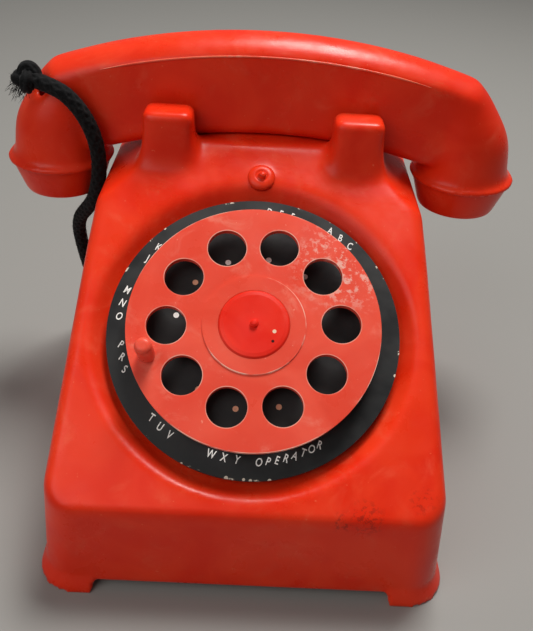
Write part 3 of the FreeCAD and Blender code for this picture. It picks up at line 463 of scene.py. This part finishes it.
def even(line, step):
    """The same line with its points one step apart."""
    spread = [line[0].copy()]
    left = step
    for a, b in zip(line, line[1:]):
        run = (b - a).length
        gone = 0.0
        while run - gone >= left:
            gone += left
            spread.append(a.lerp(b, gone / run))
            left = step
        left -= run - gone
    if (spread[-1] - line[-1]).length > step * 0.3:
        spread.append(line[-1].copy())
    return spread


def frames_along(line):
    """Direction, side and top at each point, without twist."""
    made = []
    side = None
    for i, point in enumerate(line):
        ahead = (line[min(i + 1, len(line) - 1)] - line[max(i - 1, 0)]).normalized()
        if side is None:
            side = ahead.orthogonal().normalized()
        side = (side - ahead * side.dot(ahead)).normalized()
        made.append((point, ahead, side, ahead.cross(side)))
    return made


def piece(name, mesh, paint, body, smooth=True):
    made = bpy.data.objects.new(name, mesh)
    bpy.context.scene.collection.objects.link(made)
    mesh.materials.clear()
    mesh.materials.append(paint.material)
    for face in mesh.polygons:
        face.use_smooth = smooth
    if body:
        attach(made, body)
    return made


# ----------------------------------------------------------- softened mouldings
def ease(value, low, high):
    """From 0 at low to 1 at high, smoothly."""
    share = min(max((value - low) / (high - low), 0.0), 1.0)
    return share * share * (3.0 - 2.0 * share)


def remeshed(nodes, fine):
    """The solids of these nodes as one even mesh."""
    bm = bmesh.new()
    for node in nodes:
        bm.from_mesh(NODES[node].data)
    holder = bpy.data.objects.new("melt", finished(bm, "melt"))
    bpy.context.scene.collection.objects.link(holder)
    remesh = holder.modifiers.new("remesh", "REMESH")
    remesh.mode = "VOXEL"
    remesh.voxel_size = fine
    mesh = bpy.data.meshes.new_from_object(holder.evaluated_get(bpy.context.evaluated_depsgraph_get()))
    bpy.data.objects.remove(holder)
    return mesh


MELT_RATE = 0.5  # of the way to the neighbours' middle in one pass


def softened(name, body, slot, nodes, fine, passes, share):
    """One piece for these nodes, its edges melted where share(point) is above nought."""
    bm = bmesh.new()
    bm.from_mesh(remeshed(nodes, fine))
    moving = [(v, share(v.co)) for v in bm.verts]
    moving = [(v, amount) for v, amount in moving if amount > 0.0]
    for _ in range(passes):
        aims = []
        for v, amount in moving:
            middle = Vector()
            for edge in v.link_edges:
                middle += edge.other_vert(v).co
            aims.append(v.co.lerp(middle / len(v.link_edges), MELT_RATE * amount))
        for (v, _amount), aim in zip(moving, aims):
            v.co = aim
    made = piece(name, finished(bm, name), PAINTS[slot], body)
    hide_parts(*nodes)


# metres: where the melting sets in, and where it is full
HANDLE_MELT = (0.043, 0.054)  # out along the handle
FLANGE_MELT = (0.002, 0.008)  # above the flanges
BASE_MELT = (0.066, 0.076)  # height
HORN_TIP = (0.005, 0.001)  # below the horn tops, where it fades again
TIP_FADE = 0.8  # share of the melting that is taken off there
HANDSET_FINE, HANDSET_PASSES = 0.0007, 26
BASE_FINE, BASE_PASSES = 0.00075, 22


def soften_mouldings():
    """Handle ends, domes, horn roots and shoulders are melted; flanges and horn tops stay."""
    flange_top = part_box("ear_cap")[1][2]
    horn_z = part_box("base_shell")[1][2]

    def handset_share(p):
        above_flange = ease(p.z, flange_top + FLANGE_MELT[0], flange_top + FLANGE_MELT[1])
        return ease(abs(p.x), *HANDLE_MELT) * above_flange

    def base_share(p):
        tip = ease(p.z, horn_z - HORN_TIP[0], horn_z - HORN_TIP[1])
        return ease(p.z, *BASE_MELT) * (1.0 - TIP_FADE * tip)

    halves = ("handset_upper", "handset_lower")
    softened(
        "handset_moulding", "handset", "red_body", halves, HANDSET_FINE, HANDSET_PASSES, handset_share
    )
    softened("base_moulding", "base", "red_body", ("base_shell",), BASE_FINE, BASE_PASSES, base_share)


# --------------------------------------------------------------- handle creases
# metres
CREASE_RAD = 0.00032
CREASE_SUNK = 0.6 * CREASE_RAD
CREASE_REACH = 0.047  # each way from the middle, where the melted ends begin
CREASE_DOWN = 0.0042  # below the crown
CREASE_IN = 0.0005  # inside the handle's side at the crease
CREASE_STEPS, CREASE_SIDES = 90, 8
HANDLE_ARCH = 0.190  # radius of the handle's arch
HANDLE_HALF = 0.0097  # half its thickness, front to back


def handle_creases():
    """Slim ridge along each top edge of the handle, in a paler red that is a painted highlight along the
    crease.
    """
    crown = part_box("handset_upper")[1][2]
    cap_front, cap_back = (corner[1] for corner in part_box("ear_cap"))
    middle_y = (cap_front + cap_back) / 2.0
    centre_z = crown - CREASE_DOWN - HANDLE_ARCH
    for name, side in (("crease_front", -1), ("crease_rear", 1)):
        y = middle_y + side * (HANDLE_HALF - CREASE_IN)
        line = []
        for k in range(CREASE_STEPS + 1):
            x = CREASE_REACH * (2.0 * k / CREASE_STEPS - 1.0)
            z = centre_z + math.sqrt(HANDLE_ARCH ** 2 - x * x) - CREASE_SUNK
            line.append(Vector((x, y, z)))
        bm = bmesh.new()
        rings = []
        for i, (point, _ahead, across, top) in enumerate(frames_along(line)):
            taper = min(1.0, 0.15 + 0.1 * min(i, CREASE_STEPS - i))
            rings.append(ring_round(bm, point, across, top, [CREASE_RAD * taper] * CREASE_SIDES))
        closed_skin(bm, rings)
        piece(name, finished(bm, name), CREASE, "handset")


# --------------------------------------------------------------------- gate nub
# millimetres
GATE_UP = 46.3  # from the dial's centre, up the slope
# radius and height above the face: the dome, the well and the stub in it
GATE_PROFILE = [
    (4.1, -0.5), (3.9, 0.35), (3.5, 0.8), (2.8, 1.1), (2.1, 1.25),
    (1.8, 1.2), (1.4, 0.7),
    (1.15, 0.8), (1.1, 1.8), (0.9, 2.2),
]
GATE_SIDES, GATE_SEED = 40, 3
STUB_FROM = 1.6  # above this height the surface is torn
STUB_TORN, STUB_LEAN = 0.14, 0.25


def gate_nub():
    """Turned dome with the snapped stub of the moulding gate in a small well."""
    draw = random.Random(GATE_SEED)
    bm = bmesh.new()
    rings = []
    for radius, above in GATE_PROFILE:
        torn = above > STUB_FROM
        ring = []
        for k in range(GATE_SIDES):
            angle = 2 * math.pi * k / GATE_SIDES
            rough = draw.uniform(-STUB_TORN, STUB_TORN) if torn else 0.0
            across = radius * math.sin(angle) + (STUB_LEAN if torn else 0.0)
            up = GATE_UP + radius * math.cos(angle)
            spot = on_dial(0.0, 0.0, above + rough)
            ring.append(bm.verts.new(spot + (Vector((1, 0, 0)) * across + DIAL_UP * up) * MM))
        rings.append(ring)
    closed_skin(bm, rings)
    piece("gate_nub", finished(bm, "gate_nub"), PAINTS["red_body"], "base")


# ------------------------------------------------------------------------- cord
CORD_DIA = 0.0046
LINE_STEP = 0.00028  # between the rings of the knitted tube
# out of the knot, down past the shoulder, a loose loop on the table, and into the back wall
CORD_ROUTE = [
    (-0.0678, 0.02885, 0.1046), (-0.0588, 0.02565, 0.1034), (-0.0538, 0.02515, 0.0992),
    (-0.0503, 0.02505, 0.0932), (-0.0486, 0.02525, 0.0866), (-0.0485, 0.02555, 0.0796),
    (-0.0499, 0.02665, 0.0728), (-0.0524, 0.02965, 0.0662), (-0.0564, 0.03485, 0.0602),
    (-0.0604, 0.04125, 0.0538), (-0.0626, 0.04625, 0.0456), (-0.0614, 0.04985, 0.0288),
    (-0.0598, 0.05205, 0.0200), (-0.0586, 0.05685, 0.0118), (-0.0578, 0.06405, 0.0056),
    (-0.0572, 0.07285, 0.0030), (-0.0540, 0.08155, 0.00235), (-0.0468, 0.08825, 0.00235),
    (-0.0372, 0.08925, 0.00235), (-0.0296, 0.08335, 0.0030), (-0.0256, 0.07545, 0.0056),
    (-0.0250, 0.06665, 0.0085), (-0.0250, 0.05661, 0.0085),
]
KNIT_ROUND = 6  # loops round the cord
KNIT_PITCH = 0.0034  # one turn of a loop along the cord
KNIT_DEEP = 0.10  # share of the radius
CORD_SIDES = 36


def knit(bm, line, radius):
    """Round knitted cord: two families of loops that cross, as bumps on a tube."""
    rings = []
    gone = 0.0
    before = line[0]
    for point, _ahead, side, top in frames_along(line):
        gone += (point - before).length
        before = point
        turn = 2 * math.pi * gone / KNIT_PITCH
        radii = []
        for k in range(CORD_SIDES):
            angle = 2 * math.pi * k / CORD_SIDES
            left = math.cos(KNIT_ROUND * angle + turn)
            right = math.cos(KNIT_ROUND * angle - turn)
            radii.append(radius * (1.0 - KNIT_DEEP + KNIT_DEEP * max(left, right)))
        rings.append(ring_round(bm, point, side, top, radii))
    closed_skin(bm, rings)


def scatter(draw):
    return Vector((draw.gauss(0, 1), draw.gauss(0, 1), draw.gauss(0, 1)))


HAIR_BEND, HAIR_TAPER = 0.35, 0.7
HAIR_SIDES, HAIR_STEPS = 3, 3


def hair(bm, root, way, length, thick, droop, draw):
    """One bent three-sided fibre."""
    bend = scatter(draw) * HAIR_BEND
    side = way.orthogonal().normalized()
    top = way.cross(side)
    rings = []
    for i in range(HAIR_STEPS + 1):
        share = i / HAIR_STEPS
        middle = root + way * length * share + (bend + Vector((0, 0, -droop))) * length * share * share
        rings.append(ring_round(bm, middle, side, top, [thick * (1.0 - HAIR_TAPER * share)] * HAIR_SIDES))
    closed_skin(bm, rings)


FUZZ_LENGTH = (0.0004, 0.0009)  # shortest and longest
FUZZ_THICK = 0.000028
FUZZ_SUNK = 0.85  # share of the radius at which a fibre starts
TABLE_ROOM = 0.0003  # least height of a fibre's tip


def fuzz(bm, line, radius, count, seed):
    """Loose fibres round the cord, none of which reaches the table."""
    draw = random.Random(seed)
    stations = frames_along(line)
    for _ in range(count):
        point, ahead, side, top = draw.choice(stations)
        angle = draw.uniform(0, 2 * math.pi)
        out = side * math.cos(angle) + top * math.sin(angle)
        way = (out + ahead * draw.uniform(-0.9, 0.9)).normalized()
        root = point + out * radius * FUZZ_SUNK
        if root.z + way.z * FUZZ_LENGTH[1] < TABLE_ROOM:
            continue
        hair(bm, root, way, draw.uniform(*FUZZ_LENGTH), FUZZ_THICK, 0.0, draw)


CORD_FIBRES, KNOT_FIBRES = 2600, 500
CORD_SEED, KNOT_SEED, TUFT_SEED = 11, 5, 7
KNOT_POINTS = 24
KNOT_RAD = CORD_DIA * 0.46  # the cord is squeezed in its knots
OUTER_KNOT, INNER_KNOT = 0.00094, 0.00070  # size of the trefoils
TUFT_WAY = (-0.62, -0.30, -0.72)
TUFT_FIBRES = 140
TUFT_OUT = 0.0036  # from the middle of the knot
TUFT_LENGTH = (0.0007, 0.0017)
TUFT_THICK, TUFT_DROOP = 0.00009, 0.1
TUFT_LEAN, TUFT_SPREAD = 0.20, 0.006


def make_cord():
    """The cord with its two knots, from the handset to the base."""
    line = even(smooth_line(CORD_ROUTE), LINE_STEP)
    bm = bmesh.new()
    knit(bm, line, CORD_DIA / 2)
    fuzz(bm, line, CORD_DIA / 2, CORD_FIBRES, CORD_SEED)
    cord = piece("cord", finished(bm, "cord"), PAINTS["cord"], None)
    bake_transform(cord)
    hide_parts("cord_upper", "cord_lower")
    knots = [outer_knot(), inner_knot()]


def knot_mesh(centre, size, toward):
    """Overhand knot pulled tight: a small trefoil of the same cord, its axis along toward."""
    turn = Vector((0, 0, 1)).rotation_difference(Vector(toward).normalized())
    corners = []
    for k in range(KNOT_POINTS):
        t = 2 * math.pi * k / KNOT_POINTS
        across = math.sin(t) + 2 * math.sin(2 * t)
        up = math.cos(t) - 2 * math.cos(2 * t)
        loop = Vector((across, up, -1.1 * math.sin(3 * t)))
        corners.append(tuple(Vector(centre) + turn @ (loop * size)))
    line = smooth_line(corners, closed=True)
    line.append(line[0].copy())
    line = even(line, LINE_STEP)
    bm = bmesh.new()
    knit(bm, line, KNOT_RAD)
    fuzz(bm, line, KNOT_RAD, KNOT_FIBRES, KNOT_SEED)
    return bm


def outer_knot():
    """Tight knot with the cord's frayed end sticking out of it, away from the handle."""
    start = Vector(CORD_ROUTE[0])
    bm = knot_mesh(start, OUTER_KNOT, (-0.5, -0.6, 0.6))
    draw = random.Random(TUFT_SEED)
    way = Vector(TUFT_WAY).normalized()
    for _ in range(TUFT_FIBRES):
        lean = scatter(draw) * TUFT_LEAN
        root = start + way * TUFT_OUT + lean * TUFT_SPREAD
        length = draw.uniform(*TUFT_LENGTH)
        hair(bm, root, (way + lean).normalized(), length, TUFT_THICK, TUFT_DROOP, draw)
    made = piece("outer_knot", finished(bm, "outer_knot"), PAINTS["cord"], "handset")
    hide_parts("cord_knot", "cord_tail")
    return made


def inner_knot():
    """Knot inside the base that keeps the cord from slipping out."""
    low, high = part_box("cord_knot_inner")
    centre = (Vector(low) + Vector(high)) / 2
    bm = knot_mesh(centre, INNER_KNOT, (0, 1, 0))
    made = piece("inner_knot", finished(bm, "inner_knot"), PAINTS["cord"], "base")
    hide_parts("cord_knot_inner")
    return made


# --------------------------------------------------------------------- printing
# letters, bearing of the middle one, step between letters, radius, lean; degrees and millimetres
PRINTING = [
    ("ABC", 38.4, 5.5, 36.8, 20.0),
    ("DEF", 9.6, 5.3, 35.9, 20.0),
    ("GHI", 341.0, 5.3, 34.6, 20.0),
    ("JK", 307.0, 6.9, 35.9, 22.0),
    ("L", 317.3, 0.0, 34.9, 22.0),
    ("MNO", 280.4, -6.1, 36.0, 25.0),
    ("PRS", 256.0, -5.6, 35.0, 27.0),
    ("TUV", 220.5, -5.4, 34.6, 30.0),
    ("WXY", 190.0, -5.7, 33.8, 17.0),
    ("OPERATOR", 161.5, -3.86, 34.2, 18.0),
]
PALE_DOTS = [338.0, 8.5, 38.5, 68.5, 280.0]  # bearings
# bearings of the dots that get the painted shade ink
SHADED_DOT_BEARINGS = [159.5, 190.0, 220.0, 250.0, 309.0]
DOT_AT, DOT_RAD, DOT_SIDES = 21.2, 0.78, 18  # from the centre, and radius of a dot
LETTER_SIZE = 3.0
LETTER_THICK, LETTER_BOLD = 0.00002, 0.00004  # metres
LETTER_NARROW = 0.72
LETTER_HALF = 0.36  # half a capital's height, as a share of LETTER_SIZE
INK_UP = 0.03  # middle of the ink above the card


def letter_mesh(letter):
    text = bpy.data.curves.new("letter", "FONT")
    text.body = letter
    text.align_x = "CENTER"
    text.size = LETTER_SIZE * MM
    text.extrude = LETTER_THICK
    text.offset = LETTER_BOLD
    text.resolution_u = 4
    holder = bpy.data.objects.new("letter", text)
    bpy.context.scene.collection.objects.link(holder)
    mesh = bpy.data.meshes.new_from_object(holder)
    bpy.data.objects.remove(holder)
    return mesh


def place_letter(bm, letter, radius, bearing, lean, above):
    """Adds one letter, standing nearly upright on the slope and leaning clockwise."""
    mesh = letter_mesh(letter)
    half_high = LETTER_SIZE * LETTER_HALF * MM
    narrow = Matrix.Diagonal((LETTER_NARROW, 1.0, 1.0, 1.0)) @ Matrix.Translation((0, -half_high, 0))
    flat = Matrix(((1, 0, 0), tuple(DIAL_UP), tuple(DIAL_OUT))).transposed()
    turned = flat.to_4x4() @ Matrix.Rotation(math.radians(-lean), 4, "Z")
    mesh.transform(Matrix.Translation(on_dial(radius, bearing, above)) @ turned @ narrow)
    bm.from_mesh(mesh)
    bpy.data.meshes.remove(mesh)


def place_dots(bm, bearings):
    """Adds a thin round dot of ink at each bearing."""
    for bearing in bearings:
        rims = []
        for above in (DISC_TOP + 0.01, DISC_TOP + 0.07):
            centre = on_dial(DOT_AT, bearing, above)
            rims.append(ring_round(bm, centre, Vector((1, 0, 0)), DIAL_UP, [DOT_RAD * MM] * DOT_SIDES))
        closed_skin(bm, rims)


def make_printing():
    bm = bmesh.new()
    for letters, middle, step, radius, lean in PRINTING:
        for i, letter in enumerate(letters):
            bearing = middle + step * (i - (len(letters) - 1) / 2)
            place_letter(bm, letter, radius, bearing, lean, DISC_TOP + INK_UP)
    place_dots(bm, PALE_DOTS)
    piece("dial_printing", finished(bm, "dial_printing"), WHITE, "base", smooth=False)
    # dots in the wheel's shade, drawn with the painted shade ink
    bm = bmesh.new()
    place_dots(bm, SHADED_DOT_BEARINGS)
    piece("dots_painted_shade", finished(bm, "dots_painted_shade"), SHADED_DOT_INK, "base", smooth=False)


# ----------------------------------------------------------------------- studio
WORLD_COLOUR, WORLD_STRENGTH = (1.0, 0.98, 0.96, 1.0), 0.13
FLOOR_COLOUR, FLOOR_HALF = (0.28, 0.275, 0.26, 1.0), 2.0
LIGHTS_AIM = (0.0, 0.0, 0.05)
# name, place, size, power and colour
LIGHTS = [
    ("key", (0.14, 0.26, 0.80), 0.30, 7.0, (1.0, 0.98, 0.95)),
    ("fill", (-0.42, -0.46, 0.56), 0.60, 2.3, (1.0, 0.98, 0.96)),
]


def area_light(name, at, size, power, colour):
    data = bpy.data.lights.new(name, "AREA")
    data.shape = "SQUARE"
    data.size = size
    data.energy = power
    data.color = colour
    lamp = bpy.data.objects.new(name, data)
    lamp.location = at
    lamp.rotation_euler = (Vector(LIGHTS_AIM) - Vector(at)).to_track_quat("-Z", "Y").to_euler()
    bpy.context.scene.collection.objects.link(lamp)


def make_studio():
    bm = bmesh.new()
    corners = [(-1, -1), (1, -1), (1, 1), (-1, 1)]
    bm.faces.new([bm.verts.new((x * FLOOR_HALF, y * FLOOR_HALF, 0.0)) for x, y in corners])
    floor_paint = Paint("floor", Roughness=0.7)
    floor_paint.colour(FLOOR_COLOUR)
    floor = piece("floor", finished(bm, "floor"), floor_paint, None, smooth=False)
    world = bpy.data.worlds.new("studio")
    world.use_nodes = True
    sky = world.node_tree.nodes["Background"]
    sky.inputs["Color"].default_value = WORLD_COLOUR
    sky.inputs["Strength"].default_value = WORLD_STRENGTH
    bpy.context.scene.world = world
    for light in LIGHTS:
        area_light(*light)
    bpy.context.scene.view_settings.view_transform = "Standard"


make_camera()
paint_cad()
soften_mouldings()
handle_creases()
gate_nub()
make_cord()
make_printing()
make_studio()
